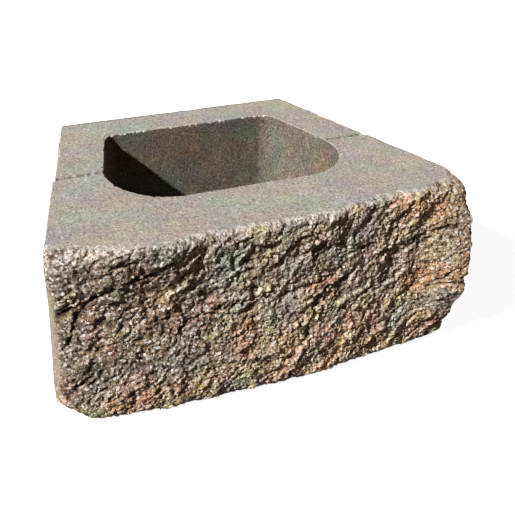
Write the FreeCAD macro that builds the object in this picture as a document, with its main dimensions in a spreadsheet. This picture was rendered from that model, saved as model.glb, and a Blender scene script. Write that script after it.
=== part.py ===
"""Retaining wall block: one dry-cast concrete unit with a split front face and one open core.

Millimetres. The origin is on the bed face, in the middle of the block's nominal length and depth.
+X runs along the wall, +Y points into the bank behind the wall and +Z is up.
The split face looks towards -Y.
"""

import FreeCAD, Part  # Part can only be imported after FreeCAD
import Sketcher

import os

NODE = "retaining_wall_block"

# Driving dimensions, in millimetres and degrees
SIZES = {
    "face_width": 457.2,  # across the split face at its top arris, before the corners are rounded
    "back_width": 276.0,  # across the flat back
    "block_depth": 304.8,  # nominal, from the foremost point that the face may reach to the back
    "block_height": 203.2,  # one course
    "face_allowance": 12.0,  # the part of that depth that is left for the swells of the face
    "face_bow": 25.5,  # how far the face's middle stands ahead of its ends, seen from above
    "face_bulge": 3.0,  # how far the face swells at mid height, seen from the side
    "lip_swell": 15.5,  # how far the top arris stands out over the left part of the face
    "lip_place": 140.0,  # from the middle of the face to the middle of that swell
    "lip_hollow": 3.5,  # how far the face is hollowed at mid height below that swell
    "hollow_depth": 2.0,  # how far the top arris falls back over the right part of the face
    "hollow_place": 110.0,  # from the middle of the face to the middle of that hollow
    "end_swell": 26.0,  # how far the face swells at mid height at its right end
    "corner_radius": 9.0,  # the two upright corners of the face
    "toe_setback": 10.0,  # depth of the broken arris along the foot of the face
    "toe_angle": 45.0,  # slope of that broken arris
    "foot_break_along": 36.0,  # broken left corner at the bed, measured along the face
    "foot_break_back": 40.0,  # and along the side
    "foot_break_slope": 43.0,  # lean of the break from upright
    "top_break_along": 13.0,  # broken right corner at the top, measured along the face
    "top_break_back": 15.0,  # and along the side
    "top_break_slope": 25.0,  # lean of the break from upright
    "core_front_wall": 82.0,  # concrete between the core and the middle of the top arris
    "core_back_wall": 43.5,  # concrete between the core and the back
    "core_web": 51.0,  # each side wall, measured square to its outside
    "core_front_radius": 63.5,
    "core_back_radius": 19.0,
    "core_draft": 3.0,  # the core narrows downwards by this angle on every side
    "score_setback": 133.0,  # from the back to the lines where the tail can be knocked off
    "score_width": 7.0,
    "score_depth": 4.0,
    "tail_step": 2.0,  # the tail behind the score is narrower by this much on each side
}

# Expressions worked out from the driving dimensions
HEIGHT = "sizes.block_height"
BACK_Y = "(sizes.block_depth / 2)"
ARRIS_Y = "(sizes.face_allowance - sizes.block_depth / 2)"  # middle of the face, without its swells
CORNER_Y = f"({ARRIS_Y} + sizes.face_bow)"  # ends of the face
SCORE_Y = f"({BACK_Y} - sizes.score_setback)"
FRONT_LIP_Y = f"({SCORE_Y} - sizes.score_width / 2)"
BACK_LIP_Y = f"({SCORE_Y} + sizes.score_width / 2)"
CORE_FRONT_Y = f"({ARRIS_Y} + sizes.core_front_wall)"
CORE_BACK_Y = f"({BACK_Y} - sizes.core_back_wall)"
SIDE_FALL = "((sizes.face_width - sizes.back_width) / 2 - sizes.tail_step)"
SIDE_SLOPE = f"({SIDE_FALL} / ({BACK_Y} - {CORNER_Y}))"
BOW_RADIUS = "((sizes.face_width ^ 2 / 4 + sizes.face_bow ^ 2) / (2 * sizes.face_bow))"
BOW_CENTRE_Y = f"({ARRIS_Y} + {BOW_RADIUS})"
BLANK_Y = f"({ARRIS_Y} - sizes.face_allowance)"  # front of the blank, before the face is split off
WASTE_Y = f"({BLANK_Y} - sizes.face_width / 4)"  # far side of what is split off
TOE_RISE = "(sizes.toe_setback * tan(sizes.toe_angle))"  # top of the broken arris along the foot
NEAR = 0.01  # millimetres within which two points count as one


def side_x(y):
    """Half the block's width at y, ahead of the score lines."""
    return f"(sizes.face_width / 2 - {SIDE_SLOPE} * ({y} - {CORNER_Y}))"


END_X = f"({side_x(BLANK_Y)} + sizes.face_allowance)"  # past both sides of the blank

# Upright sections of the split face from left to right: name, place along the face, how far the top arris
# stands out there, and how far the face swells at mid height
SECTIONS = (
    ("past_left_end", f"-{END_X}", "0", "sizes.face_bulge"),
    ("lip", "-sizes.lip_place", "sizes.lip_swell", "-sizes.lip_hollow"),
    ("middle", "0", "0", "sizes.face_bulge"),
    ("hollow", "sizes.hollow_place", "-sizes.hollow_depth", "sizes.face_bulge"),
    ("turn", "(sizes.hollow_place + sizes.face_width / 2) / 2", "0", "sizes.face_bulge"),
    ("right_end", "sizes.face_width / 2", "0", "sizes.end_swell"),
    ("past_right_end", END_X, "0", "sizes.end_swell"),
)


def core_x(y):
    """Half the core's width at y: its side walls run parallel to the block's sides."""
    return f"({side_x(y)} - sizes.core_web * sqrt(1 + {SIDE_SLOPE} ^ 2))"


def make_sheet(doc):
    """The spreadsheet that holds every driving dimension under its alias."""
    sheet = doc.addObject("Spreadsheet::Sheet", "sizes")
    for row, (alias, value) in enumerate(SIZES.items(), start=1):
        sheet.set(f"A{row}", alias)
        sheet.set(f"B{row}", str(value))
        sheet.setAlias(f"B{row}", alias)
    doc.recompute()


def new_sketch(body, name, plane_role):
    """An empty sketch on one of the body's own origin planes."""
    sketch = body.newObject("Sketcher::SketchObject", name)
    plane = next(feature for feature in body.Origin.OriginFeatures if feature.Role == plane_role)
    sketch.AttachmentSupport = [(plane, "")]
    sketch.MapMode = "FlatFace"
    return sketch


def place_vector(sketch, place):
    """The sketch point that two expressions give."""
    x, y = place
    return FreeCAD.Vector(sketch.evalExpression(x), sketch.evalExpression(y), 0)


def pin_point(sketch, geometry, end, place):
    """Holds one end of a line at the point that two expressions give."""
    for kind, expression in zip(("DistanceX", "DistanceY"), place):
        value = sketch.evalExpression(expression)
        index = sketch.addConstraint(Sketcher.Constraint(kind, -1, 1, geometry, end, value))
        sketch.setExpression(f"Constraints[{index}]", expression)


def join(sketch, geometry, end, other, other_end):
    """Brings an end of one line or arc onto an end of another."""
    sketch.addConstraint(Sketcher.Constraint("Coincident", geometry, end, other, other_end))


def add_line(sketch, start, stop, construction=False):
    """A line whose start is held by its expressions."""
    segment = Part.LineSegment(place_vector(sketch, start), place_vector(sketch, stop))
    line = sketch.addGeometry(segment, construction)
    pin_point(sketch, line, 1, start)
    return line


def add_chain(sketch, places):
    """Lines from each place to the next; the last line's far end is left free."""
    lines = [add_line(sketch, start, stop) for start, stop in zip(places, places[1:])]
    for line, following in zip(lines, lines[1:]):
        join(sketch, line, 2, following, 1)
    return lines


def add_loop(sketch, places):
    """A closed chain of lines through the places."""
    lines = add_chain(sketch, places + places[:1])
    join(sketch, lines[-1], 2, lines[0], 1)


def mirrored(places):
    """The places followed by their mirror images across the YZ plane, in one loop."""
    return places + [(f"-({x})", y) for x, y in reversed(places)]


def add_fillet(body, name, chosen, radius):
    """Rounds those edges of the body's last feature that are chosen."""
    base = body.Tip
    numbered = enumerate(base.Shape.Edges, start=1)
    fillet = body.newObject("PartDesign::Fillet", name)
    fillet.Base = (base, [f"Edge{number}" for number, edge in numbered if chosen(edge)])
    fillet.setExpression("Radius", radius)
    body.Document.recompute()


def add_blank(body):
    """The moulded blank: its plan outline has a notch and a step at each score line."""
    outline = new_sketch(body, "plan_outline", "XY_Plane")
    right_side = [
        (side_x(BLANK_Y), BLANK_Y),
        (side_x(FRONT_LIP_Y), FRONT_LIP_Y),
        (f"{side_x(SCORE_Y)} - sizes.score_depth", SCORE_Y),
        (f"{side_x(BACK_LIP_Y)} - sizes.tail_step", BACK_LIP_Y),
        ("sizes.back_width / 2", BACK_Y),
    ]
    add_loop(outline, mirrored(right_side))
    blank = body.newObject("PartDesign::Pad", "blank")
    blank.Profile = outline
    blank.setExpression("Length", HEIGHT)
    body.Document.recompute()


def add_section(body, name, place, lip, bulge):
    """A sketch of the waste in front of the face, in one upright section. An arc in it is the face, and the
    slanting line below that is the broken arris along its foot."""
    section = new_sketch(body, f"{name}_section", "YZ_Plane")
    section.setExpression("AttachmentOffset.Base.z", place)
    foot_y = f"({BOW_CENTRE_Y} - sqrt({BOW_RADIUS} ^ 2 - ({place}) ^ 2))"
    arris_y = f"({foot_y} - ({lip}))"
    above = f"{HEIGHT} + sizes.face_allowance"
    below = "-sizes.face_allowance"
    under = (f"{foot_y} + sizes.toe_setback + sizes.face_allowance / tan(sizes.toe_angle)", below)
    toe = (foot_y, TOE_RISE)
    arris = (arris_y, HEIGHT)
    crest = (f"({foot_y} + {arris_y}) / 2 - ({bulge})", f"({TOE_RISE} + {HEIGHT}) / 2")
    lines = add_chain(section, [arris, (arris_y, above), (WASTE_Y, above), (WASTE_Y, below), under, toe])
    pin_point(section, lines[-1], 2, toe)

    bends = [place_vector(section, point) for point in (toe, crest, arris)]
    swell = section.addGeometry(Part.Arc(*bends))
    upper_end = max((1, 2), key=lambda end: section.getPoint(swell, end).y)
    join(section, swell, upper_end, lines[0], 1)
    join(section, swell, 3 - upper_end, lines[-1], 2)
    half_chord_squared = f"(({HEIGHT} - {TOE_RISE}) ^ 2 + ({lip}) ^ 2) / 4"
    radius = f"({half_chord_squared} + ({bulge}) ^ 2) / (2 * abs({bulge}))"
    index = section.addConstraint(Sketcher.Constraint("Radius", swell, section.evalExpression(radius)))
    section.setExpression(f"Constraints[{index}]", radius)
    return section


def split_face(body):
    """Splits the front off the blank: a bowed face with a lip, a hollow and a swollen right end."""
    sections = [add_section(body, *values) for values in SECTIONS]
    waste = body.newObject("PartDesign::SubtractiveLoft", "split_face")
    waste.Profile = sections[0]
    waste.Sections = sections[1:]
    body.Document.recompute()


def round_corners(body):
    """Rounds the two upright corners of the face."""
    height = body.Tip.evalExpression(HEIGHT)
    lip_y = body.Tip.evalExpression(FRONT_LIP_Y)

    def is_upright(edge):
        box = edge.BoundBox
        return box.ZLength > height / 2 and box.YMax < lip_y - NEAR

    add_fillet(body, "upright_corners", is_upright, "sizes.corner_radius")


def break_corner(body, name, side, from_bed):
    """Breaks one corner of the face off with a leaning cut: side is 1 on the right and -1 on the left."""
    along, back, slope = (f"sizes.{name}_{size}" for size in ("along", "back", "slope"))
    back_y = f"({CORNER_Y} + {back})"
    face_x = f"({side} * (sizes.face_width / 2 - {along}))"
    run = (f"({side} * {side_x(back_y)} - {face_x})", back)
    length = f"sqrt({run[0]} ^ 2 + {run[1]} ^ 2)"
    reach = f"(2 * {HEIGHT} / {length})"

    def place(ahead, outward):
        """A point so many reaches along the cut and away from the block, seen from the face."""
        x = f"{face_x} + {reach} * ({ahead} * {run[0]} + {outward} * {side} * {run[1]})"
        y = f"{CORNER_Y} + {reach} * ({ahead} * {run[1]} - {outward} * {side} * {run[0]})"
        return x, y

    outline = new_sketch(body, f"{name}_outline", "XY_Plane")
    if not from_bed:
        outline.setExpression("AttachmentOffset.Base.z", HEIGHT)
    add_loop(outline, [place(-1, 0), place(1, 0), place(1, 2), place(-1, 2)])
    cut = body.newObject("PartDesign::Pocket", name)
    cut.Profile = outline
    cut.Reversed = from_bed
    cut.setExpression("Length", f"{HEIGHT} / 2")
    cut.setExpression("TaperAngle", f"-{slope}")
    body.Document.recompute()


def break_corners(body):
    """The two broken corners of the face: low on the left and high on the right."""
    break_corner(body, "foot_break", side=-1, from_bed=True)
    break_corner(body, "top_break", side=1, from_bed=False)


def cut_core(body):
    """The open core: drafted, with wide front corners and tight back corners."""
    front = (core_x(CORE_FRONT_Y), CORE_FRONT_Y)
    back = (core_x(CORE_BACK_Y), CORE_BACK_Y)
    outline = new_sketch(body, "core_outline", "XY_Plane")
    outline.setExpression("AttachmentOffset.Base.z", HEIGHT)
    add_loop(outline, mirrored([front, back]))
    core = body.newObject("PartDesign::Pocket", "core")
    core.Profile = outline
    core.setExpression("Length", HEIGHT)
    core.setExpression("TaperAngle", "-sizes.core_draft")
    body.Document.recompute()

    height = core.evalExpression(HEIGHT)
    front_corner = place_vector(core, front)
    back_corner = place_vector(core, back)

    def starts_at(edge, corner):
        rises = edge.BoundBox.ZLength > height / 2
        top = max((vertex.Point for vertex in edge.Vertexes), key=lambda point: point.z)
        return rises and abs(abs(top.x) - corner.x) < NEAR and abs(top.y - corner.y) < NEAR

    for name, corner in (("core_front", front_corner), ("core_back", back_corner)):
        add_fillet(body, f"{name}_corners", lambda edge: starts_at(edge, corner), f"sizes.{name}_radius")


def cut_score(body):
    """The V-shaped score across the top of both side walls."""
    profile = new_sketch(body, "score_profile", "YZ_Plane")
    add_loop(
        profile,
        [(FRONT_LIP_Y, HEIGHT), (BACK_LIP_Y, HEIGHT), (SCORE_Y, f"{HEIGHT} - sizes.score_depth")],
    )
    score = body.newObject("PartDesign::Pocket", "score")
    score.Profile = profile
    score.Type = "ThroughAll"
    score.SideType = "Symmetric"
    body.Document.recompute()


def check(doc, body):
    """Stops the build when a feature has failed or the block isn't one sound solid."""
    for item in doc.Objects:
        if "Invalid" in item.State or "Error" in item.State:
            raise RuntimeError(f"{item.Label} has failed: {item.State}")
    if body.Shape.isNull() or not body.Shape.isValid() or len(body.Shape.Solids) != 1:
        raise RuntimeError(f"{body.Label} is not one sound solid")


def main():
    doc = FreeCAD.newDocument(NODE)
    make_sheet(doc)
    body = doc.addObject("PartDesign::Body", NODE)
    body.Label = NODE
    body.Placement = FreeCAD.Placement()
    add_blank(body)
    for cut in (split_face, round_corners, break_corners, cut_core, cut_score):
        before = body.Shape.Volume
        cut(body)
        if not body.Shape.Volume < before:
            raise RuntimeError(f"{cut.__name__} has removed nothing")
    check(doc, body)
    os.makedirs("parts", exist_ok=True)
    body.Shape.exportStep(f"parts/{body.Label}.step")


main()
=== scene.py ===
import math

import bmesh
import bpy
from mathutils import Matrix, Vector, noise


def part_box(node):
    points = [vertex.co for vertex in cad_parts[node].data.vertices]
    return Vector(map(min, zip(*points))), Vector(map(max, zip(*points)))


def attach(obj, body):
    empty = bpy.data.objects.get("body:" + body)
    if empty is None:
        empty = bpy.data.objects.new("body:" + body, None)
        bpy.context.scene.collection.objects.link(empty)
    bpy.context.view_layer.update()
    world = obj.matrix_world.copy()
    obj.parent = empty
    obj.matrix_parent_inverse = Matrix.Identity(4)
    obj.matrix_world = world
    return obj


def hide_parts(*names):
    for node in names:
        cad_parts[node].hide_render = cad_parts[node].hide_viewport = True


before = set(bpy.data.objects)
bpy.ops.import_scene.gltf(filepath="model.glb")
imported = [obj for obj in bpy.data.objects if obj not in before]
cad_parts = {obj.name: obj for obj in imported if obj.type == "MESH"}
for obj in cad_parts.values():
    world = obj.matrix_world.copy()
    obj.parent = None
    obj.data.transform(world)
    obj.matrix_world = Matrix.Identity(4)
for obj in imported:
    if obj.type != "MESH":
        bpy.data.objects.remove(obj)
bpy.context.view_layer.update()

# Noise vectors differ from run to run unless they have a seed.
NOISE_SEED = 5
noise.seed_set(NOISE_SEED)

NODE = "retaining_wall_block"
MM = 0.001
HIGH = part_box(NODE)[1]

# The block in millimetres, in the frame's own axes: the split face looks along -Y and the bed lies at zero.
HEIGHT = HIGH.z / MM
BACK_Y = HIGH.y / MM
FACE_HALF = 228.6
FACE_END_Y = -114.9
FACE_BOW = 25.5
SIDE_SLOPE = 0.33146
TAIL_STEP = 2.0
CORNER_RADIUS = 9.0
SPLIT_WRAP = 26.0
BACK_RADIUS = 1.5

# The scored groove: where its lines run, how deep each lies as a share of the depth, and how far back each stands
# in the side walls, which end at the step of the tail.
SCORE_LINES = (15.8, 17.5, 20.0, 21.8, 23.5)
SCORE_DROP = (0.0, 1.0, 1.0, 0.4, 0.0)
SCORE_INSET = (0.0, 3.0, 3.0, 2.3, TAIL_STEP)
SCORE_DEPTH = 3.0

# The core: its front and back, the web beside it, its corners and how much narrower it is at the bed.
CORE_FRONT_Y = -58.4
CORE_BACK_Y = 108.9
CORE_WEB = 53.73
CORE_FRONT_RADIUS = 63.5
CORE_BACK_RADIUS = 19.0
CORE_DRAFT = 10.65

# Spacing of the vertices: fine on the split face, where the grains are, and wide on the moulded faces.
FACE_STEP = 1.15
WRAP_STEP = 2.0
WALL_STEP = 12.0
CORE_STEP = 1.6
CORE_ROWS = 10
GROOVE_PIECES = 24

# The worn arrises are narrow bevels, and on the top a band beside each keeps the wear from spreading.
ARRIS = 0.9
MOUTH_ARRIS = 0.5
ARRIS_BAND = 2.2

# Places nearer than CLOSE are the same one, and no part of the block lies as far out as FAR.
CLOSE = 0.01
FAR = 1000.0

# How far the top arris of the split face stands in front of its even bow, along the face.
TOP_EDGE = (
    (-229, 3.5), (-202, 6.5), (-161, 11.2), (-121, 11.0), (-78, 1.3), (-40, -1.5), (6, -0.5),
    (42, 0.4), (84, -4.3), (133, -5.5), (160, 0.5), (203, -1.8), (229, 0.0),
)

# How far the split face stands in front of its top arris, from the bed up.
PROFILE = (
    (0, -0.8), (14, 1.2), (45, 3.2), (80, 2.2), (125, 2.7), (160, 5.2), (182, 5.8), (204, 6.0),
)

# How far the right end swells on along the taper of the side, from the bed up.
END_SWELL = ((0, 2.0), (15, 6.0), (45, 15.0), (80, 27.0), (118, 28.0), (155, 19.0), (185, 6.5), (204, 0.0))
SIDE_RUN = Vector((0.3146, -0.9492, 0))

# Broad swells and hollows of the split face: x, z, reach along x, reach along z, height.
LOBES = (
    (-226, 85, 26, 75, -1.0),
    (-130, 140, 45, 30, -3.5),
    (100, 60, 55, 45, 1.0),
    (20, 150, 50, 40, -2.0),
)

# Broken corners, each a plane that cuts one off: a point of the plane and the direction it faces.
CHIPS = (
    (Vector((-224, -112, 46)), Vector((-0.93, -0.28, -0.24))),
    (Vector((-203, -110, 7)), Vector((-0.62, -0.38, -0.68))),
    (Vector((-172, -128, 0)), Vector((-0.36, -0.38, -0.85))),
    (Vector((208, -122, 0)), Vector((0.55, -0.45, -0.70))),
    (Vector((206, -112, 203)), Vector((0.34, -0.26, 0.90))),
)

# Ledges that the split left, each a line of x, z points along its lip and the depth of the drop below it.
LEDGES = (
    (((-221, 131), (-203, 140), (-177, 156)), 12.0),
    (((-168, 161), (-157, 166), (-138, 173), (-119, 184)), 12.0),
    (((-212, 102), (-208, 116), (-203, 132)), 11.0),
    (((-185, 110), (-183, 124), (-171, 142)), 6.0),
    (((-221, 38), (-204, 50), (-193, 67), (-190, 76)), 6.0),
    (((-146, 72), (-129, 81), (-111, 86), (-109, 101)), 8.0),
    (((-109, 101), (-96, 110), (-76, 115), (-61, 119)), 8.0),
    (((-50, 120), (-29, 123), (-8, 130)), 7.0),
    (((-117, 125), (-111, 136), (-97, 152)), 6.0),
    (((-100, 173), (-85, 183)), 5.0),
    (((-56, 172), (-50, 188), (-40, 193)), 6.0),
    (((-60, 141), (-51, 154), (-39, 157)), 5.0),
    (((-4, 161), (6, 173), (19, 183), (30, 191)), 8.0),
    (((-1, 117), (10, 120), (24, 123)), 7.0),
    (((29, 95), (43, 107), (60, 115), (73, 120)), 8.0),
    (((63, 132), (65, 143), (84, 152), (108, 156)), 6.0),
    (((76, 82), (91, 90), (106, 99)), 7.0),
    (((120, 141), (142, 147), (163, 151), (183, 153), (205, 157)), 8.0),
    (((128, 105), (134, 125)), 5.0),
    (((175, 78), (195, 91), (208, 103), (226, 112)), 6.0),
    (((32, 62), (36, 78), (40, 90)), 6.0),
    (((19, 17), (28, 37), (37, 52)), 8.0),
    (((-38, 77), (-34, 92), (-23, 104)), 5.0),
    (((-154, 33), (-134, 48), (-116, 54)), 5.0),
    (((-171, 47), (-162, 58)), 4.5),
    (((-110, 25), (-95, 34)), 4.5),
    (((96, 43), (123, 44)), 5.0),
    (((-185, 90), (-160, 98)), 4.0),
)


def side_x(y):
    """Half width of the moulded taper at y, without the step behind the score."""
    return FACE_HALF - SIDE_SLOPE * (y - FACE_END_Y)


def ramp(value, start, end):
    """0 before start, 1 after end and a smooth rise between them; start may be the larger."""
    share = min(max((value - start) / (end - start), 0.0), 1.0)
    return share * share * (3 - 2 * share)


def along(points, x):
    """Height at x of the smooth line through points, which run from left to right."""
    for (x0, h0), (x1, h1) in zip(points, points[1:]):
        if x <= x1:
            return h0 + (h1 - h0) * ramp(x, x0, x1)
    return points[-1][1]


def both_sides(half):
    """A whole outline from the corners of its right half."""
    return half + [(-x, y, radius) for x, y, radius in reversed(half)]


def rounded_ring(bm, corners, height, arc_step):
    """A closed ring of edges, anticlockwise from above. A corner is x, y and a radius, and a rounded one is a
    vertex spun about the corner's centre."""
    known = set(bm.edges)
    runs = []
    for i, (x, y, radius) in enumerate(corners):
        corner = Vector((x, y, height))
        run_in = (corner - Vector((*corners[i - 1][:2], height))).normalized()
        run_out = (Vector((*corners[(i + 1) % len(corners)][:2], height)) - corner).normalized()
        turn = run_in.angle(run_out)
        first = bm.verts.new(corner - run_in * radius * math.tan(turn / 2))
        last = first
        if radius:
            centre = first.co + radius * Vector((-run_in.y, run_in.x, 0))
            steps = max(2, round(radius * turn / arc_step))
            spun = bmesh.ops.spin(bm, geom=[first], cent=centre, axis=(0, 0, 1), angle=turn, steps=steps)
            last = [v for v in spun["geom_last"] if isinstance(v, bmesh.types.BMVert)][0]
        runs.append((first, last))
    for (_, last), (first, _) in zip(runs, runs[1:] + runs[:1]):
        bm.edges.new((last, first))
    return [e for e in bm.edges if e not in known]


def divide(bm, edges, step):
    """Cuts each edge into pieces of about one step, and gives back all the pieces."""
    pieces = []
    for edge in edges:
        cuts = round(edge.calc_length() / step) - 1
        if cuts > 0:
            made = bmesh.ops.subdivide_edges(bm, edges=[edge], cuts=cuts)
            pieces += [e for e in made["geom_split"] if isinstance(e, bmesh.types.BMEdge)]
        else:
            pieces.append(edge)
    return pieces


def ring_verts(edges):
    """The vertices of some edges, each once."""
    return list({v: None for e in edges for v in e.verts})


def mark_outward(edges, layer, middle):
    """Keeps at each vertex of a ring its level direction away from the middle."""
    ring = set(edges)
    for v in ring_verts(edges):
        before, after = [e.other_vert(v) for e in v.link_edges if e in ring]
        run = (after.co - before.co).normalized()
        across = Vector((run.y, -run.x, 0))
        v[layer] = across if across.dot(v.co - middle) > 0 else -across


def drawn(bm, edges):
    """Extrudes a ring of edges, and gives back the new ring."""
    made = bmesh.ops.extrude_edge_only(bm, edges=edges)["geom"]
    new = {v for v in made if isinstance(v, bmesh.types.BMVert)}
    return [e for e in made if isinstance(e, bmesh.types.BMEdge) and all(v in new for v in e.verts)]


def upright(bm, rise):
    """The edges that rise by more than a height."""
    return [e for e in bm.edges if abs(e.verts[0].co.z - e.verts[1].co.z) > rise]


def chain(bm, start, end, pieces):
    """A straight run of edges between two vertices."""
    return divide(bm, [bm.edges.new((start, end))], (end.co - start.co).length / pieces)


def nearest(verts, x_sign, y):
    """The vertex of a ring, on one side of the block, whose y is nearest."""
    return min((v for v in verts if v.co.x * x_sign > 0), key=lambda v: abs(v.co.y - y))


def fill_ring(bm, edges, start, end):
    """One face inside the closed loop of the edges that lie between two values of y."""
    loop = [e for e in edges if all(start - CLOSE < v.co.y < end + CLOSE for v in e.verts)]
    return bmesh.ops.edgeloop_fill(bm, edges=loop)["faces"]


def block_mesh():
    """The block as one closed bmesh in millimetres, still even: no relief on the face and no worn arrises."""
    bm = bmesh.new()
    outward = bm.verts.layers.float_vector.new("outward")
    for name in ("dirt_and_painted_shade", "wear_and_highlight", "blend", "pigment", "inset", "score", "drop"):
        bm.verts.layers.float.new(name)
    inset, score, drop = (bm.verts.layers.float[name] for name in ("inset", "score", "drop"))
    half = [
        (FACE_HALF, FACE_END_Y, CORNER_RADIUS),
        (side_x(FACE_END_Y + SPLIT_WRAP), FACE_END_Y + SPLIT_WRAP, 0),
        *((side_x(y) - notch, y, 0) for y, notch in zip(SCORE_LINES, SCORE_INSET)),
        (side_x(BACK_Y) - TAIL_STEP, BACK_Y, BACK_RADIUS),
    ]
    ring = rounded_ring(bm, both_sides(half), 0, FACE_STEP)
    wrap_end = FACE_END_Y + SPLIT_WRAP
    front = [e for e in ring if all(v.co.y < FACE_END_Y + CLOSE for v in e.verts)]
    wrap = [e for e in ring if e not in front and all(v.co.y < wrap_end + CLOSE for v in e.verts)]
    rest = [e for e in ring if e not in front and e not in wrap]
    ring = divide(bm, front, FACE_STEP) + divide(bm, wrap, WRAP_STEP) + divide(bm, rest, WALL_STEP)
    bow_radius = (FACE_HALF ** 2 + FACE_BOW ** 2) / (2 * FACE_BOW)
    for v in ring_verts(ring):
        v[score] = sum(i for i, y in enumerate(SCORE_LINES, start=1) if abs(v.co.y - y) < CLOSE)
        bow = math.sqrt(bow_radius ** 2 - min(abs(v.co.x), FACE_HALF) ** 2) - (bow_radius - FACE_BOW)
        v.co.y -= bow * ramp(v.co.y, FACE_END_Y + CORNER_RADIUS, FACE_END_Y)
    mark_outward(ring, outward, Vector((0, 0, 0)))

    rim = drawn(bm, ring)
    bmesh.ops.translate(bm, vec=(0, 0, HEIGHT), verts=ring_verts(rim))
    rows = round(HEIGHT / FACE_STEP)
    bmesh.ops.subdivide_edges(bm, edges=upright(bm, CLOSE), cuts=rows - 1, use_grid_fill=True)

    core_half = [
        (side_x(CORE_FRONT_Y) - CORE_WEB, CORE_FRONT_Y, CORE_FRONT_RADIUS),
        (side_x(CORE_BACK_Y) - CORE_WEB, CORE_BACK_Y, CORE_BACK_RADIUS),
    ]
    mouth = divide(bm, rounded_ring(bm, both_sides(core_half), HEIGHT, CORE_STEP), CORE_STEP)
    core_middle = Vector((0, (CORE_FRONT_Y + CORE_BACK_Y) / 2, 0))
    mark_outward(mouth, outward, core_middle)
    for x_sign in (-1, 1):
        for i, y in enumerate(SCORE_LINES, start=1):
            v = nearest(ring_verts(mouth), x_sign, y)
            v.co.y = y
            v[score] = i
    foot = drawn(bm, mouth)
    for v in ring_verts(foot):
        v.co -= v[outward] * CORE_DRAFT
        v.co.z = 0
    bmesh.ops.subdivide_edges(bm, edges=upright(bm, HEIGHT / 2), cuts=CORE_ROWS - 1, use_grid_fill=True)

    # An arris ring of its own goes round each open end, so that the edges can be worn. On the top a second one
    # follows it.
    bands = {}
    for name, edges, inward, arris in (
        ("rim", rim, -1, ARRIS), ("mouth", mouth, 1, MOUTH_ARRIS),
        ("bed_outer", ring, -1, ARRIS), ("bed_core", foot, 1, ARRIS),
    ):
        loop = [e for e in edges if e.is_valid]
        bands[name] = drawn(bm, loop)
        step = arris if loop[0].verts[0].co.z > 1 else -arris
        for v in ring_verts(loop):
            v.co.z -= step
        for v in ring_verts(bands[name]):
            v.co += v[outward] * inward * arris
        if step > 0:
            bands[name] = drawn(bm, bands[name])
            for v in ring_verts(bands[name]):
                v.co += v[outward] * inward * ARRIS_BAND
                v[inset] = ARRIS_BAND

    # The bed is two faces that meet at a line on each side, and the top has the scored groove there.
    bed = bands["bed_outer"] + bands["bed_core"]
    for x_sign in (-1, 1):
        outer = nearest(ring_verts(bands["bed_outer"]), x_sign, SCORE_LINES[0])
        inner = nearest(ring_verts(bands["bed_core"]), x_sign, SCORE_LINES[0])
        inner.co.y = outer.co.y
        bed.append(bm.edges.new((outer, inner)))
    cut_y = nearest(ring_verts(bands["bed_outer"]), 1, SCORE_LINES[0]).co.y
    fill_ring(bm, bed, -FAR, cut_y)
    fill_ring(bm, bed, cut_y, FAR)

    top = bands["rim"] + bands["mouth"]
    for x_sign in (-1, 1):
        lines = []
        for i, (y, share) in enumerate(zip(SCORE_LINES, SCORE_DROP), start=1):
            marked = [v for v in ring_verts(bands["rim"] + bands["mouth"]) if v[score] == i]
            ends = [v for v in marked if v.co.x * x_sign > 0]
            for v in ends:
                v.co.y = y
            lines.append(chain(bm, *ends, GROOVE_PIECES))
            for v in ring_verts(lines[-1]):
                v[drop] = share
        for line, following in zip(lines, lines[1:]):
            bmesh.ops.bridge_loops(bm, edges=line + following)
        top += lines[0] + lines[-1]
    fill_ring(bm, top, -FAR, SCORE_LINES[0])
    fill_ring(bm, top, SCORE_LINES[-1], FAR)
    bmesh.ops.recalc_face_normals(bm, faces=bm.faces)
    return bm, outward


# A ledge: how far it is felt, how soft its lip is, how it fades past its ends, below its lip and above it, and the
# shares of its depth in the drop, the raised lip and the crack along it.
LEDGE_REACH = 30.0
LEDGE_SOFT = 0.8
LEDGE_END = 6.0
LEDGE_BELOW = 8.0
LEDGE_ABOVE = 6.0
LEDGE_DROP = 0.22
LEDGE_LIP = 0.10
LEDGE_CRACK = 0.42
LEDGE_CRACK_HALF = 2.0
LEDGE_OPENING = 8.0

# Between these values of a noise a crack goes from closed to open.
OPEN_FROM, OPEN_TO = -0.25, 0.3


def rough(p, *waves):
    """Noise at a point, added up from waves that each have a height and a size."""
    return sum(height * noise.noise(p / size) for height, size in waves)


def ledge_height(x, z, wander):
    """The step below the lips of the ledges near a point of the face, with the crack along each lip."""
    height = 0.0
    for points, depth in LEDGES:
        if not points[0][0] - LEDGE_REACH < x < points[-1][0] + LEDGE_REACH:
            continue
        best = None
        for (x0, z0), (x1, z1) in zip(points, points[1:]):
            run_x, run_z = x1 - x0, z1 - z0
            length = math.hypot(run_x, run_z)
            share = ((x - x0) * run_x + (z - z0) * run_z) / length ** 2
            held = min(max(share, 0.0), 1.0)
            off = math.hypot(x - x0 - run_x * held, z - z0 - run_z * held)
            if best is None or off < best[0]:
                below = ((x - x0) * run_z - (z - z0) * run_x) / length
                beyond = abs(share - held) * length
                best = (off, below, beyond)
        off, below, beyond = best
        if off > LEDGE_REACH:
            continue
        below += wander
        fade = depth * math.exp(-(beyond / LEDGE_END) ** 2)
        place = Vector((x / LEDGE_OPENING, z / LEDGE_OPENING, depth))
        open_share = ramp(noise.noise(place), OPEN_FROM, OPEN_TO)
        drop = ramp(below, -LEDGE_SOFT, LEDGE_SOFT)
        height -= fade * LEDGE_DROP * drop * math.exp(-max(below, 0) / LEDGE_BELOW)
        height += fade * LEDGE_LIP * (1 - drop) * math.exp(min(below, 0) / LEDGE_ABOVE)
        height -= fade * LEDGE_CRACK * open_share * math.exp(-(below / LEDGE_CRACK_HALF) ** 2)
    return height


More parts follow.
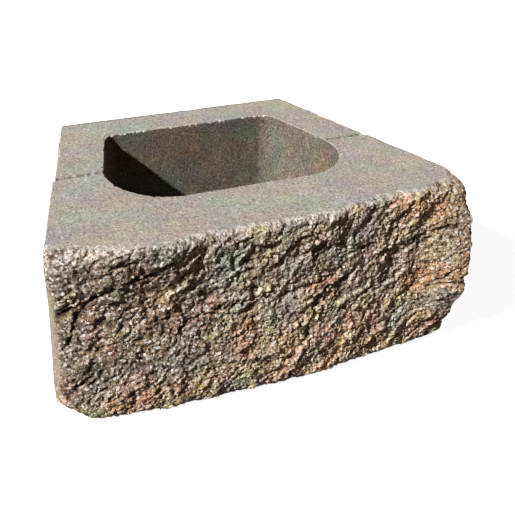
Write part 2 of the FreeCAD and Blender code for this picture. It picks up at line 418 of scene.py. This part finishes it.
# The split leans up to the right, and its cracks and facets are drawn out along that lean.
LEAN = math.radians(38)
CRACK_LENGTH = 34.0
CRACK_WIDTH = 13.0
CRACK_HALF = 0.14
CRACK_DEPTH = 1.2
CRACK_DEPTH_LEFT = 1.6

# Broken planes of the face, in two sizes and a fine one: where their grid starts, their length and width, the step
# between their levels, their slope, and how much deeper the torn ones lie.
BROAD_FACETS = (
    (Vector((0, 0, 0)), 27, 18, 0.9, 0.24, 1),
    (Vector((31, 0, 17)), 9.5, 7.5, 0.5, 0.25, 7),
)
FINE_FACETS = (Vector((7, 0, 43)), 4.6, 3.8, 0.45, 0.4, 7)
FACET_WARP = 0.35
FACET_WARP_RATE = 1.9
FACET_SOFT = 0.12
TORN_FROM = 0.72
GRAIN_SIZE = 2.6

# Each of these spreads the seeds of a cell pattern, so that every cell gets its own draw.
LEVEL_DRAW, TILT_DRAW, GRAIN_DRAW = 37.1, 9.7, 53.3


def leaned(p, length, width):
    """A point of the face in a grid that leans with the split, drawn out along it."""
    return Vector((
        (p.x * math.cos(LEAN) + p.z * math.sin(LEAN)) / length,
        (p.z * math.cos(LEAN) - p.x * math.sin(LEAN)) / width,
        p.y / length,
    ))


def facet_height(p, start, length, width, step, slope, tear):
    """Broken planes of about one size, each at its own level and tilt, and some of them torn out deep."""
    q = leaned(p + start, length, width)
    q += FACET_WARP * noise.noise_vector(q * FACET_WARP_RATE)
    reach, seeds = noise.voronoi(q)
    heights = []
    for seed in seeds[:2]:
        level = noise.cell(seed * LEVEL_DRAW)
        level -= tear * max(-level - TORN_FROM, 0)
        heights.append(step * level + slope * width * noise.noise_vector(seed * TILT_DRAW).dot(q - seed))
    share = 0.5 + 0.5 * ramp(reach[1] - reach[0], 0.0, FACET_SOFT)
    return heights[0] * share + heights[1] * (1 - share)


def crack_depth(p):
    """Winding cracks that lean with the split, open in places and closed in others: 0 to 1."""
    q = leaned(p, CRACK_LENGTH, CRACK_WIDTH)
    line = abs(noise.noise(q) + 0.5 * noise.noise(q * 2.3))
    return ramp(line, CRACK_HALF, 0.0) * ramp(noise.noise(q * 0.7 + Vector((5, 9, 2))), OPEN_FROM, OPEN_TO)


def grain_height(p, size):
    """Grains of about one size, some standing proud and some torn out."""
    reach, seeds = noise.voronoi(p / size)
    return size * (0.2 * noise.cell(seeds[0] * GRAIN_DRAW) + 0.4 * (0.45 - reach[0]))


# Where the split ends: on the left the corner stays moulded up to a slanting break, which lies between two heights
# and takes the edge further out above it, and on the sides the split fades out behind the end of the face.
MOULDED_X = -220.0
BREAK_FROM, BREAK_TO = 152.0, 168.0
BREAK_REACH = 14.0
SPLIT_EDGE_HALF = 1.5
SIDE_FROM, SIDE_TO = 24.0, 14.0


def split_share(x, y, z):
    """1 on the split face and 0 on the moulded walls."""
    wander = 2.0 * noise.noise(Vector((x / 6, z / 6, 3.1)))
    left_edge = MOULDED_X - BREAK_REACH * ramp(z + x - MOULDED_X, BREAK_FROM, BREAK_TO)
    left = ramp(x + wander, left_edge - SPLIT_EDGE_HALF, left_edge + SPLIT_EDGE_HALF)
    side = ramp(y + wander * 2, FACE_END_Y + SIDE_FROM, FACE_END_Y + SIDE_TO)
    return left * side


# How round the top and the foot of the face are: the top more so towards both ends.
TOP_ROUND = 8.0
TOP_ROUND_LEFT = 5.0
TOP_ROUND_RIGHT = 4.0
FOOT_ROUND = 12


def round_off(radius, past):
    """How far a rounded edge falls back where a point lies so far past the start of its curve."""
    return radius - math.sqrt(max(radius ** 2 - past ** 2, 0))


def face_height(x, y, z, facing, fine_share):
    """How far the split face stands out from the even plan at a point, how deep in a tear it lies and how proud its
    grains stand there, the last two from 0 to 1, which mark painted shade and painted highlight. fine_share is how
    much of the grain it has."""
    p = Vector((x, y, z))
    share = split_share(x, y, z)
    height = along(PROFILE, z) * facing
    height += along(TOP_EDGE, x) * facing * (0.3 + 0.7 * ramp(z, 140, 195))
    for lobe_x, lobe_z, reach_x, reach_z, rise in LOBES:
        height += rise * facing * math.exp(-((x - lobe_x) / reach_x) ** 2 - ((z - lobe_z) / reach_z) ** 2)
    top_round = TOP_ROUND + TOP_ROUND_LEFT * ramp(x, -150, -205) + TOP_ROUND_RIGHT * ramp(x, 165, 205)
    top_round += rough(p, (3.5, 14))
    height -= round_off(top_round, max(z - (HEIGHT - top_round), 0)) * facing
    foot_round = FOOT_ROUND + rough(p, (3, 22))
    height -= round_off(foot_round, max(foot_round - z, 0)) * facing
    depth = proud = 0.0
    if share > 0:
        wander = rough(p, (3.6, 11), (2.0, 4))
        crack = (CRACK_DEPTH + CRACK_DEPTH_LEFT * ramp(x, -110, -180)) * crack_depth(p)
        broad = ledge_height(x, z, wander) - crack + noise.fractal(p / 26, 0.9, 2.0, 3)
        broad += sum(facet_height(p, *facets) for facets in BROAD_FACETS)
        fine = facet_height(p, *FINE_FACETS) + grain_height(p, GRAIN_SIZE)
        # The relief is calmer beside the top arris and round the left corner.
        calm = 0.6 + 0.4 * ramp(z, HEIGHT, HEIGHT - 10)
        height += share * (broad + fine_share * fine) * calm * (0.4 + 0.6 * ramp(x, -227, -212))
        depth = share * max(ramp(broad + fine, -1.0, -3.8), 0.8 * ramp(fine, -0.1, -1.3))
        proud = share * ramp(fine, 0.35, 1.1)
    return height, depth, proud


def chip_move(p):
    """The level move, straight in from each break, that brings a point on to the broken corners."""
    move = Vector()
    torn = rough(p, (2.2, 7), (1.2, 2.5))
    for point, facing in CHIPS:
        level = Vector((facing.x, facing.y, 0))
        beyond = (p + move - point).dot(facing) + level.length * torn
        if beyond > 0:
            move -= level * beyond / level.length_squared
    return move


# How deep the small breaks of the moulded edges are for the noise they come from, and at the most.
NICK_RATE = 3.6
NICK_LIMIT = 1.9


def arris_wear(p):
    """How far a moulded edge is worn back: small breaks, and slow waves between them."""
    nick = max(noise.noise(p / 3.4) - 0.05, 0) * NICK_RATE
    return min(nick, NICK_LIMIT) + rough(p, (0.35, 11))


def rim_wear(p):
    """How much of the pale broken grain shows below the top arris: a band that is wide at both ends, and more so
    at the left one."""
    deep = 9 + rough(p, (6, 18)) + 17 * ramp(p.x, -165, -205) + 9 * ramp(p.x, 175, 215)
    return ramp(p.z, HEIGHT - deep, HEIGHT - 0.5 * deep) * ramp(noise.noise(p / 3.2), -0.35, 0.25)


def painted_light_tone(p):
    """Tone of the split face at a point: painted light and shade that even out how the key lamp falls on the bowed
    face, paler to the right and at the foot and darker at the left and the far right, over faint random patches.
    """
    tone = 0.70 + 0.80 * ramp(p.x, -180, 40) - 0.38 * ramp(p.x, 160, 215) + 0.35 * ramp(p.z, 75, 25)
    return tone + rough(p, (0.25, 55))


def pigment_share(p):
    """How much of the warm pigment was blended in at a point of the split face: less near the top, and patchy."""
    share = 0.55 - 0.35 * ramp(p.z, 110, 190) * ramp(p.x, 150, 60) + 0.15 * ramp(p.x, 120, 200)
    return share + rough(p, (0.85, 42))


def carve(bm, outward):
    """Gives the split face its relief, wears the arrises and roughens the scored groove. Marks where the colour is
    darkened, with dirt and painted shade in the groove and with painted shade in the hollows of the split face;
    where worn edges show paler concrete and proud grains get a painted highlight; and, on the split face, its tone
    of painted light and shade over faint random patches and its share of warm pigment."""
    names = ("dirt_and_painted_shade", "wear_and_highlight", "blend", "pigment", "inset", "drop")
    dirt_and_painted_shade, wear_and_highlight, blend, pigment, inset, drop = (bm.verts.layers.float[name] for name in names)
    # A known fault: near the tail this reach also takes in a stretch of the outer side walls, between 81 and 117 mm
    # along y, which swells by up to 2.4 mm there.
    margin = 4
    core_reach = side_x(CORE_FRONT_Y) - CORE_WEB + margin
    for v in bm.verts:
        out = v[outward].copy()
        x, y, z = v.co
        in_core = abs(x) < core_reach and CORE_FRONT_Y - margin < y < CORE_BACK_Y + margin
        top = z > HEIGHT - 0.1
        if v[drop] > 0:
            # Darker in the scored groove: dirt, and painted shade of its pits and narrow hollow.
            v[dirt_and_painted_shade] = 0.6 * ramp(noise.noise(v.co / 4), -0.4, 0.2)
            v.co.z -= SCORE_DEPTH * v[drop] * (0.8 + 0.6 * noise.noise(v.co / 5))
            v.co.y += 0.8 * noise.noise(v.co / 4)
        elif out.length < 0.5:
            v.co.y += 1.6 * noise.noise(v.co / 3)
        elif y < FACE_END_Y + SPLIT_WRAP:
            p = v.co + out * v[inset]
            facing = ramp(-out.y, -0.25, 0.85)
            height, depth, proud = face_height(*p, facing, 1.0 if v[inset] == 0 else 0.0)
            move = out * height
            swell = along(END_SWELL, z) * ramp(x, 165, 222) * ramp(y, FACE_END_Y + SPLIT_WRAP, FACE_END_Y + 8)
            move += SIDE_RUN * swell
            chip = chip_move(p + move)
            move += chip
            if top and v[inset] == 0:
                v[wear_and_highlight] = 0.7 * ramp(noise.noise(p / 7), -0.1, 0.35)
            elif v[inset] == 0:
                # Paler where worn: below the top arris and at the chipped corners; on the proud grains a painted
                # highlight.
                v[wear_and_highlight] = max(rim_wear(p), 0.45 * proud, 0.9 * ramp(chip.length, 0.5, 3) * ramp(z, 150, 185))
                # Painted shade: the deep tears and the hollows between the grains are darkened.
                v[dirt_and_painted_shade] = 0.92 * depth
            # The tone is painted light and shade, over faint random patches.
            v[blend] = painted_light_tone(p)
            v[pigment] = pigment_share(p)
            v.co += move
        elif y < CORE_FRONT_Y and z < HEIGHT / 2:
            # The tone is painted light and shade, over faint random patches.
            v[blend] = painted_light_tone(v.co)
            v[pigment] = pigment_share(v.co)
            v.co += chip_move(v.co)
        elif z > HEIGHT - 2 and v[inset] == 0:
            wear = arris_wear(v.co) * (1 - 0.7 * ramp(out.x, 0.2, 0.7) * in_core)
            v[wear_and_highlight] = 0.7 * ramp(wear, 0.5, 1.2)
            inward = out * wear if in_core else -out * wear
            v.co += inward if top else Vector((0, 0, -wear))
        elif in_core and 2 < z < HEIGHT - 2:
            # The rows of the core are drawn closer together towards its mouth, along its draft.
            low = HEIGHT * (1 - (1 - z / HEIGHT) ** 1.8)
            v.co += out * CORE_DRAFT * (low - z) / HEIGHT
            v.co.z = low


def linear(code):
    """sRGB hex to linear RGBA."""
    parts = [int(code[i:i + 2], 16) / 255 for i in (1, 3, 5)]
    return (*(c / 12.92 if c <= 0.04045 else ((c + 0.055) / 1.055) ** 2.4 for c in parts), 1.0)


def add(tree, kind, settings=None, **links):
    """Adds a node. Settings are its properties, its input values, or a ramp's shades, each with its place. Links
    join an input to another node's output, and name it, or give its number after an i."""
    node = tree.nodes.new(kind)
    for key, value in (settings or {}).items():
        if key == "shades":
            stops = node.color_ramp.elements
            for i, (at, code) in enumerate(value):
                stop = stops[i] if i < len(stops) else stops.new(at)
                stop.position = at
                stop.color = linear(code)
        elif isinstance(key, str) and hasattr(node, key):
            setattr(node, key, value)
        else:
            node.inputs[key].default_value = value
    for key, source in links.items():
        name = key.replace("_", " ")
        tree.links.new(source, node.inputs[name] if name in node.inputs else node.inputs[int(key[1:])])
    return node


# Shades of the concrete with their places in the tint's noise, and on the split face in the share of warm pigment.
TOP_SHADES = ((0.3, "#b0ada6"), (0.5, "#b3aca1"), (0.7, "#b8ac9d"))
CORE_SHADES = ((0.3, "#706d61"), (0.5, "#786e60"), (0.7, "#806f5e"))
SIDE_SHADES = ((0.3, "#a59a87"), (0.5, "#a69882"), (0.7, "#ab9880"))
SPLIT_SHADES = ((0.0, "#9d9a8c"), (1 / 3, "#b29f82"), (2 / 3, "#be9c78"), (1.0, "#c79a70"))
# Darkens the scored groove: dirt, and painted shade of its pits.
MOULDED_DIRT_AND_SHADE = "#2f2922"
# Painted shade in the hollows of the split face.
SPLIT_HOLLOW_SHADE = "#301a08"
DARK_GRAIN = "#4c341c"
PALE_GRAIN = "#efe6dc"
QUARTZ = "#f7f4ee"

# Sizes of the patterns in millimetres. The sand of the mix is under 1 mm, too fine to show in the render, so it is
# drawn at a little over 2 mm.
TINT_SIZE = 60.0
CAST_SIZE = 34.0
SAND_SIZE = 2.4
PIN_HOLE_SPACING = 4.2
PALE_SAND_SPACING = 3.4
PIGMENT_SIZE = 30.0
BROKEN_GRAIN_SIZE = 2.2
QUARTZ_SPACING = 4.4


def new_material(name):
    """An empty material, its node tree and its object coordinates."""
    material = bpy.data.materials.new(name)
    material.use_nodes = True
    tree = material.node_tree
    tree.nodes.clear()
    return material, tree, add(tree, "ShaderNodeTexCoord").outputs["Object"]


def dull_surface(tree, colour, dirt_and_shade_colour, roughness, height, strength, distance):
    """Ends a material: a darker colour over its own where the vertices mark it, which is dirt and painted shade in
    the groove and painted shade in the hollows of the split face, and a dull surface with dents by a height, whose
    distance is in millimetres."""
    dirt_and_painted_shade = add(tree, "ShaderNodeAttribute", {"attribute_name": "dirt_and_painted_shade"})
    darkened = add(tree, "ShaderNodeMix", {"data_type": "RGBA", 7: linear(dirt_and_shade_colour)},
                 Factor=dirt_and_painted_shade.outputs["Fac"], i6=colour)
    bump = add(tree, "ShaderNodeBump", {"Strength": strength, "Distance": distance * MM}, Height=height)
    shader = add(tree, "ShaderNodeBsdfPrincipled",
                 {"Roughness": roughness, "IOR": 1.5, "Specular IOR Level": 0.25},
                 Base_Color=darkened.outputs[2], Normal=bump.outputs["Normal"])
    add(tree, "ShaderNodeOutputMaterial", Surface=shader.outputs["BSDF"])


def moulded_concrete(name, shades, dark, pale, mottle, cast):
    """Dry-cast concrete as it left the mould: dull, even and close, with faint tints from the aggregate, pin holes
    where the stiff mix did not close, painted dark as the shade inside them, a few pale sand grains, and paler
    concrete where an edge is worn.
    mottle is how much the sand varies the tone, and cast how strong the tints are."""
    material, tree, place = new_material(name)
    tint = add(tree, "ShaderNodeTexNoise", {"Scale": 1 / (TINT_SIZE * MM), "Detail": 1.5}, Vector=place)
    shade = add(tree, "ShaderNodeValToRGB", {"shades": shades}, Fac=tint.outputs["Fac"])
    patch = add(tree, "ShaderNodeTexNoise", {"Scale": 1 / (CAST_SIZE * MM), "Detail": 1.0}, Vector=place)
    base = add(tree, "ShaderNodeMix", {"data_type": "RGBA", "blend_type": "OVERLAY", 0: cast},
               i6=shade.outputs["Color"], i7=patch.outputs["Color"])
    grit = add(tree, "ShaderNodeTexNoise", {"Scale": 1 / (SAND_SIZE * MM), "Detail": 2.0, "Roughness": 0.7},
               Vector=place)
    speckle = add(tree, "ShaderNodeMapRange",
                  {"From Min": 0.25, "From Max": 0.75, "To Min": 1 - mottle, "To Max": 1 + mottle},
                  Value=grit.outputs["Fac"])
    toned = add(tree, "ShaderNodeMix", {"data_type": "RGBA", "blend_type": "MULTIPLY", 0: 1.0},
                i6=base.outputs[2], i7=speckle.outputs["Result"])
    # Pin holes: painted dark, as the shade inside them, and dented a little by the bump.
    holes = add(tree, "ShaderNodeTexVoronoi", {"Scale": 1 / (PIN_HOLE_SPACING * MM)}, Vector=place)
    pit = add(tree, "ShaderNodeMapRange", {"From Min": 0.12, "From Max": 0.24, "To Min": 0.75, "To Max": 0.0},
              Value=holes.outputs["Distance"])
    pitted = add(tree, "ShaderNodeMix", {"data_type": "RGBA", 7: linear(dark)},
                 Factor=pit.outputs["Result"], i6=toned.outputs[2])
    sand = add(tree, "ShaderNodeTexVoronoi", {"Scale": 1 / (PALE_SAND_SPACING * MM)}, Vector=place)
    grain = add(tree, "ShaderNodeSeparateColor", Color=sand.outputs["Color"])
    light = add(tree, "ShaderNodeMapRange", {"From Min": 0.74, "From Max": 0.9, "To Max": 0.75},
                Value=grain.outputs["Red"])
    spot = add(tree, "ShaderNodeMapRange", {"From Min": 0.2, "From Max": 0.35, "To Min": 1.0, "To Max": 0.0},
               Value=sand.outputs["Distance"])
    speck = add(tree, "ShaderNodeMath", {"operation": "MULTIPLY"},
                i0=light.outputs["Result"], i1=spot.outputs["Result"])
    wear_and_highlight = add(tree, "ShaderNodeAttribute", {"attribute_name": "wear_and_highlight"})
    bare = add(tree, "ShaderNodeMapRange", {"From Min": 0.4, "From Max": 0.55}, Value=grit.outputs["Fac"])
    worn = add(tree, "ShaderNodeMath", {"operation": "MULTIPLY"},
               i0=wear_and_highlight.outputs["Fac"], i1=bare.outputs["Result"])
    pale_share = add(tree, "ShaderNodeMath", {"operation": "MAXIMUM"},
                     i0=speck.outputs["Value"], i1=worn.outputs["Value"])
    specked = add(tree, "ShaderNodeMix", {"data_type": "RGBA", 7: linear(pale)},
                  Factor=pale_share.outputs["Value"], i6=pitted.outputs[2])
    dents = add(tree, "ShaderNodeMath", {"operation": "SUBTRACT"},
                i0=grit.outputs["Fac"], i1=pit.outputs["Result"])
    dull_surface(tree, specked.outputs[2], MOULDED_DIRT_AND_SHADE, 0.92, dents.outputs["Value"], 0.6, 0.7)
    return material


def split_concrete(name):
    """The same concrete torn open by the splitter: the broken aggregate shows as small grains, from charcoal
    through rose and ochre to near white, over patches of pigment under a tone of painted light and shade; its worn
    edges are paler, its proud grains carry a painted highlight and its hollows painted shade."""
    material, tree, place = new_material(name)
    pigment = add(tree, "ShaderNodeAttribute", {"attribute_name": "pigment"})
    hue = add(tree, "ShaderNodeValToRGB", {"shades": SPLIT_SHADES}, Fac=pigment.outputs["Fac"])
    patch = add(tree, "ShaderNodeTexNoise", {"Scale": 1 / (PIGMENT_SIZE * MM), "Detail": 1.0}, Vector=place)
    tinted = add(tree, "ShaderNodeMix", {"data_type": "RGBA", "blend_type": "OVERLAY", 0: 0.4},
                 i6=hue.outputs["Color"], i7=patch.outputs["Color"])
    # The tone attribute: painted light and shade that evens out the key lamp, over faint random patches.
    blend = add(tree, "ShaderNodeAttribute", {"attribute_name": "blend"})
    base = add(tree, "ShaderNodeMix", {"data_type": "RGBA", "blend_type": "MULTIPLY", 0: 1.0},
               i6=tinted.outputs[2], i7=blend.outputs["Fac"])
    grains = add(tree, "ShaderNodeTexVoronoi", {"Scale": 1 / (BROKEN_GRAIN_SIZE * MM)}, Vector=place)
    tone = add(tree, "ShaderNodeSeparateColor", Color=grains.outputs["Color"])
    deep = add(tree, "ShaderNodeMapRange", {"From Min": 0.45, "From Max": 0.05, "To Max": 0.8},
               Value=tone.outputs["Red"])
    dark = add(tree, "ShaderNodeMix", {"data_type": "RGBA", 7: linear(DARK_GRAIN)},
               Factor=deep.outputs["Result"], i6=base.outputs[2])
    light = add(tree, "ShaderNodeMapRange", {"From Min": 0.6, "From Max": 0.95, "To Max": 0.85},
                Value=tone.outputs["Red"])
    wear_and_highlight = add(tree, "ShaderNodeAttribute", {"attribute_name": "wear_and_highlight"})
    bare = add(tree, "ShaderNodeMapRange", {"From Min": 0.2, "From Max": 0.8}, Value=tone.outputs["Green"])
    worn = add(tree, "ShaderNodeMath", {"operation": "MULTIPLY"},
               i0=wear_and_highlight.outputs["Fac"], i1=bare.outputs["Result"])
    pale_share = add(tree, "ShaderNodeMath", {"operation": "MAXIMUM"},
                     i0=light.outputs["Result"], i1=worn.outputs["Value"])
    pale = add(tree, "ShaderNodeMix", {"data_type": "RGBA", 7: linear(PALE_GRAIN)},
               Factor=pale_share.outputs["Value"], i6=dark.outputs[2])
    chips = add(tree, "ShaderNodeTexVoronoi", {"Scale": 1 / (QUARTZ_SPACING * MM)}, Vector=place)
    chip = add(tree, "ShaderNodeSeparateColor", Color=chips.outputs["Color"])
    white = add(tree, "ShaderNodeMath", {"operation": "GREATER_THAN", 1: 0.86}, i0=chip.outputs["Red"])
    inside = add(tree, "ShaderNodeMapRange",
                 {"From Min": 0.3, "From Max": 0.42, "To Min": 0.95, "To Max": 0.0},
                 Value=chips.outputs["Distance"])
    quartz = add(tree, "ShaderNodeMath", {"operation": "MULTIPLY"},
                 i0=white.outputs["Value"], i1=inside.outputs["Result"])
    specked = add(tree, "ShaderNodeMix", {"data_type": "RGBA", 7: linear(QUARTZ)},
                  Factor=quartz.outputs["Value"], i6=pale.outputs[2])
    grit = add(tree, "ShaderNodeTexNoise", {"Scale": 1 / (BROKEN_GRAIN_SIZE * MM), "Detail": 2.0}, Vector=place)
    dull_surface(tree, specked.outputs[2], SPLIT_HOLLOW_SHADE, 0.95, grit.outputs["Fac"], 1.0, 1.6)
    return material


# The finishes of the block's faces, by the number of their material.
TOP, CORE, SPLIT, SIDE = range(4)

# A face is level from this part of its normal and chipped from this depth, and an edge is sharp from this angle.
LEVEL_FROM = 0.5
CHIPPED_FROM = 1
SHARP_ANGLE = math.radians(42)


def make_block():
    """The whole block as one piece with its four finishes, in place of the CAD solid."""
    bm, outward = block_mesh()
    core_reach = side_x(CORE_FRONT_Y) - CORE_WEB - 0.5
    for face in bm.faces:
        middle = face.calc_center_median()
        in_core = abs(middle.x) < core_reach and CORE_FRONT_Y + 0.5 < middle.y < CORE_BACK_Y + 0.5
        if abs(face.normal.z) > LEVEL_FROM:
            face.material_index = TOP
        elif in_core:
            face.material_index = CORE
        elif split_share(*middle) > 0.5 or chip_move(middle).length > CHIPPED_FROM:
            face.material_index = SPLIT
        else:
            face.material_index = SIDE
    carve(bm, outward)
    bm.verts.layers.float_vector.remove(outward)
    for name in ("inset", "score", "drop"):
        bm.verts.layers.float.remove(bm.verts.layers.float[name])
    bmesh.ops.scale(bm, vec=(MM, MM, MM), verts=bm.verts)
    for face in bm.faces:
        face.smooth = len(face.verts) == 4 and abs(face.normal.z) < 0.9
    for edge in bm.edges:
        edge.smooth = edge.calc_face_angle(0.0) < SHARP_ANGLE
    mesh = bpy.data.meshes.new("split_face_block")
    bm.to_mesh(mesh)
    bm.free()
    block = bpy.data.objects.new("split_face_block", mesh)
    bpy.context.scene.collection.objects.link(block)
    for material in (
        # Pressed level by the head of the mould: the palest and closest face.
        moulded_concrete("dry_cast_concrete_moulded", TOP_SHADES,
                         dark="#4a4338", pale="#f6f1e6", mottle=0.5, cast=0.2),
        # Left by the core bar: more open and with stronger tints, and darker, partly its own tone and partly
        # painted shade of the core's open texture and dim inside.
        moulded_concrete("dry_cast_concrete_core_wall", CORE_SHADES,
                         dark="#2c261e", pale="#b9af9d", mottle=0.75, cast=0.36),
        split_concrete("dry_cast_concrete_split"),
        # The side walls: darker and warmer than the top, and smoother.
        moulded_concrete("dry_cast_concrete_side_wall", SIDE_SHADES,
                         dark="#4f473a", pale="#d8cfbd", mottle=0.4, cast=0.2),
    ):
        mesh.materials.append(material)
    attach(block, "root")
    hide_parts(NODE)
    return block


# Half a side of the floor, in metres.
FLOOR_HALF = 6.0


def make_floor():
    """A plain white studio floor in matt paint. Its own glow keeps it pale and even, and isn't cast on the
    block."""
    bm = bmesh.new()
    bmesh.ops.create_grid(bm, x_segments=1, y_segments=1, size=FLOOR_HALF)
    mesh = bpy.data.meshes.new("floor")
    bm.to_mesh(mesh)
    bm.free()
    floor = bpy.data.objects.new("floor", mesh)
    bpy.context.scene.collection.objects.link(floor)
    material = bpy.data.materials.new("white_studio_floor")
    material.use_nodes = True
    shader = material.node_tree.nodes["Principled BSDF"]
    shader.inputs["Base Color"].default_value = linear("#f4f4f2")
    shader.inputs["Roughness"].default_value = 0.9
    shader.inputs["Emission Color"].default_value = linear("#ffffff")
    shader.inputs["Emission Strength"].default_value = 0.92
    mesh.materials.append(material)
    floor.visible_diffuse = False


# The camera: where it stands in metres, its bearing, its tilt down and its lean, and its focal length in pixels
# of a square picture.
IMAGE_SIDE = 515
SENSOR_WIDTH = 36
CAMERA_AT = Vector((-0.4015, -0.8849, 0.6500))
CAMERA_YAW = math.radians(26.68)
CAMERA_PITCH = math.radians(30.09)
CAMERA_ROLL = math.radians(3.08)
FOCAL_PIXELS = 993.84


def make_camera():
    """The camera, turned by its bearing and tilt and then leaned about the line it looks along."""
    ahead = Vector((
        math.sin(CAMERA_YAW) * math.cos(CAMERA_PITCH),
        math.cos(CAMERA_YAW) * math.cos(CAMERA_PITCH),
        -math.sin(CAMERA_PITCH),
    ))
    level = Vector((math.cos(CAMERA_YAW), -math.sin(CAMERA_YAW), 0))
    upper = level.cross(ahead)
    across = level * math.cos(CAMERA_ROLL) + upper * math.sin(CAMERA_ROLL)
    upward = upper * math.cos(CAMERA_ROLL) - level * math.sin(CAMERA_ROLL)
    data = bpy.data.cameras.new("camera")
    data.sensor_width = SENSOR_WIDTH
    data.lens = FOCAL_PIXELS / IMAGE_SIDE * data.sensor_width
    camera = bpy.data.objects.new("camera", data)
    axes = Matrix((across, upward, -ahead)).transposed().to_4x4()
    camera.matrix_world = Matrix.Translation(CAMERA_AT) @ axes
    bpy.context.scene.collection.objects.link(camera)
    bpy.context.scene.camera = camera


# The lamps: which way their light goes, how strong it is, how many degrees wide, and its tint.
LAMPS = (
    ("key", (1.27, 0.45, -1.0), 5.0, 1.5, "#ffffff"),
    ("fill", (-0.6, 0.8, -0.03), 0.14, 40, "#ffbe7c"),
    ("back", (-0.35, -0.94, -0.02), 1.3, 20, "#fff4e4"),
)
SURROUND_TINT = "#ffdcb0"
SURROUND_STRENGTH = 0.015


def make_light():
    """A small key lamp from the upper left, a weak soft fill from the right front, a level lamp from behind that
    lets the back be seen, and a faint even surround."""
    for name, travel, energy, spread, tint in LAMPS:
        data = bpy.data.lights.new(name, "SUN")
        data.energy = energy
        data.color = linear(tint)[:3]
        data.angle = math.radians(spread)
        lamp = bpy.data.objects.new(name, data)
        lamp.rotation_euler = Vector(travel).to_track_quat("-Z", "Y").to_euler()
        bpy.context.scene.collection.objects.link(lamp)
    world = bpy.data.worlds.new("surround")
    world.use_nodes = True
    world.node_tree.nodes["Background"].inputs["Color"].default_value = linear(SURROUND_TINT)
    world.node_tree.nodes["Background"].inputs["Strength"].default_value = SURROUND_STRENGTH
    bpy.context.scene.world = world
    bpy.context.scene.view_settings.view_transform = "Standard"


make_block()
make_floor()
make_camera()
make_light()
